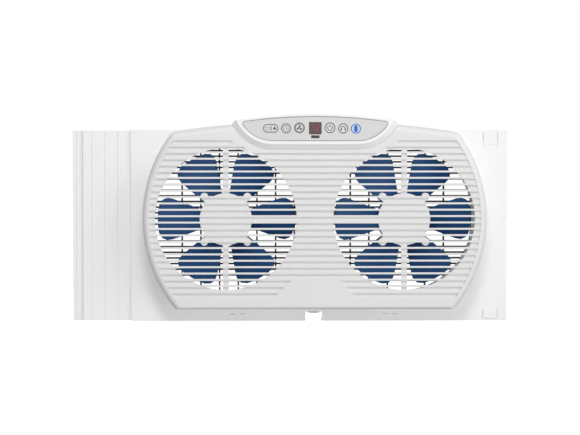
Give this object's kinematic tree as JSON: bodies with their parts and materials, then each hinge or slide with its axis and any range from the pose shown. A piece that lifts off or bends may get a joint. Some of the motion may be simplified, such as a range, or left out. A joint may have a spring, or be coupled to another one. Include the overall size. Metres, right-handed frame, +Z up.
{
  "type": "twin window fan",
  "caption": "Side-by-side window fan: slatted cover over two bladed fans, arched button panel, telescoping ribbed side panel, flanged frame and rear grille.",
  "frame": {"origin": "on the window sill line under the frame: midway between the two fan axes, at the front face of the flange", "axes": "+X to the right seen from the room, +Y away from the room towards outdoors, +Z up from the sill"},
  "size_m": [0.6753, 0.1151, 0.32],
  "materials": {
    "white_plastic": "fine moulded texture, satin",
    "black_plastic": "moulded, semi-matt",
    "blade_blue": "smooth moulded, semi-gloss",
    "motor_steel": "zinc-plated pressed steel",
    "core_steel": "bare laminations",
    "winding": "enamelled wire",
    "bronze": "sintered bronze",
    "rotor_metal": "die-cast cage",
    "shaft_steel": "ground",
    "screw_steel": "zinc-plated",
    "overlay": "fine matt film",
    "button_grey": "satin with printed symbol",
    "display": "dark red filter",
    "ir_filter": "dark infra-red filter",
    "board_green": "solder resist",
    "component": "moulded component",
    "capacitor": "moulded case",
    "speaker_steel": "black paint",
    "speaker_paper": "treated paper cone",
    "gland_grey": "moulded"
  },
  "bodies": {
    "frame": {"main_housing": "white_plastic", "front_cover": "white_plastic", "rear_grille": "black_plastic", "grille_screws": "screw_steel", "cover_screws": "screw_steel", "motor_case_left": "motor_steel", "motor_case_right": "motor_steel", "motor_bell_left": "motor_steel", "motor_bell_right": "motor_steel", "stator_left": "core_steel", "stator_right": "core_steel", "windings_left": "winding", "windings_right": "winding", "bearings_left": "bronze", "bearings_right": "bronze", "motor_screws": "screw_steel", "control_bezel": "white_plastic", "control_overlay": "overlay", "display_window": "display", "ir_window": "ir_filter", "control_board": "board_green", "display_module": "component", "ir_receiver": "component", "tact_switches": "component", "board_screws": "screw_steel", "speaker_frame": "speaker_steel", "speaker_cone": "speaker_paper", "speaker_screws": "screw_steel", "power_board": "board_green", "run_capacitors": "capacitor", "power_board_screws": "screw_steel", "cord_gland": "gland_grey"},
    "fan_left": {"impeller_left": "blade_blue", "shaft_left": "shaft_steel", "rotor_left": "rotor_metal", "blade_nut_left": "blade_blue"},
    "fan_right": {"impeller_right": "blade_blue", "shaft_right": "shaft_steel", "rotor_right": "rotor_metal", "blade_nut_right": "blade_blue"},
    "side_panel": {"slide_panel": "white_plastic"},
    "side_panel_end": {"slide_end": "white_plastic"},
    "mode_button": {"button_mode": "button_grey"},
    "timer_button": {"button_timer": "button_grey"},
    "speed_button": {"button_speed": "button_grey"},
    "power_button": {"button_power": "button_grey"},
    "sound_button": {"button_sound": "button_grey"},
    "pairing_button": {"button_pairing": "button_grey"},
    "upper_latch": {"latch_upper": "white_plastic"},
    "lower_latch": {"latch_lower": "white_plastic"}
  },
  "joints": [
    {"name": "fan_left_spin", "type": "hinge", "parent": "frame", "child": "fan_left", "pos_m": [-0.1359, 0, 0.1602], "axis": [0, 1, 0], "continuous": true},
    {"name": "fan_right_spin", "type": "hinge", "parent": "frame", "child": "fan_right", "pos_m": [0.1359, 0, 0.1602], "axis": [0, 1, 0], "continuous": true},
    {"name": "side_panel_slide", "type": "slide", "parent": "frame", "child": "side_panel", "axis": [-1, 0, 0], "range_m": [0, 0.018]},
    {"name": "side_panel_end_slide", "type": "slide", "parent": "side_panel", "child": "side_panel_end", "axis": [-1, 0, 0], "range_m": [0, 0.07]},
    {"name": "mode_button_press", "type": "slide", "parent": "frame", "child": "mode_button", "axis": [0, 1, 0], "range_m": [0, 0.0006], "stiffness_N_per_m": 800, "springref_m": -0.0004},
    {"name": "timer_button_press", "type": "slide", "parent": "frame", "child": "timer_button", "axis": [0, 1, 0], "range_m": [0, 0.0006], "stiffness_N_per_m": 800, "springref_m": -0.0004},
    {"name": "speed_button_press", "type": "slide", "parent": "frame", "child": "speed_button", "axis": [0, 1, 0], "range_m": [0, 0.0006], "stiffness_N_per_m": 800, "springref_m": -0.0004},
    {"name": "power_button_press", "type": "slide", "parent": "frame", "child": "power_button", "axis": [0, 1, 0], "range_m": [0, 0.0006], "stiffness_N_per_m": 800, "springref_m": -0.0004},
    {"name": "sound_button_press", "type": "slide", "parent": "frame", "child": "sound_button", "axis": [0, 1, 0], "range_m": [0, 0.0006], "stiffness_N_per_m": 800, "springref_m": -0.0004},
    {"name": "pairing_button_press", "type": "slide", "parent": "frame", "child": "pairing_button", "axis": [0, 1, 0], "range_m": [0, 0.0006], "stiffness_N_per_m": 800, "springref_m": -0.0004},
    {"name": "upper_latch_flex", "type": "hinge", "parent": "frame", "child": "upper_latch", "pos_m": [0.27525, 0.00125, 0.29275], "axis": [1, 0, 0], "range_deg": [0, 5], "stiffness_Nm_per_rad": 0.6},
    {"name": "lower_latch_flex", "type": "hinge", "parent": "frame", "child": "lower_latch", "pos_m": [0.27525, 0.00125, 0.00405], "axis": [-1, 0, 0], "range_deg": [0, 5], "stiffness_Nm_per_rad": 0.6}
  ]
}
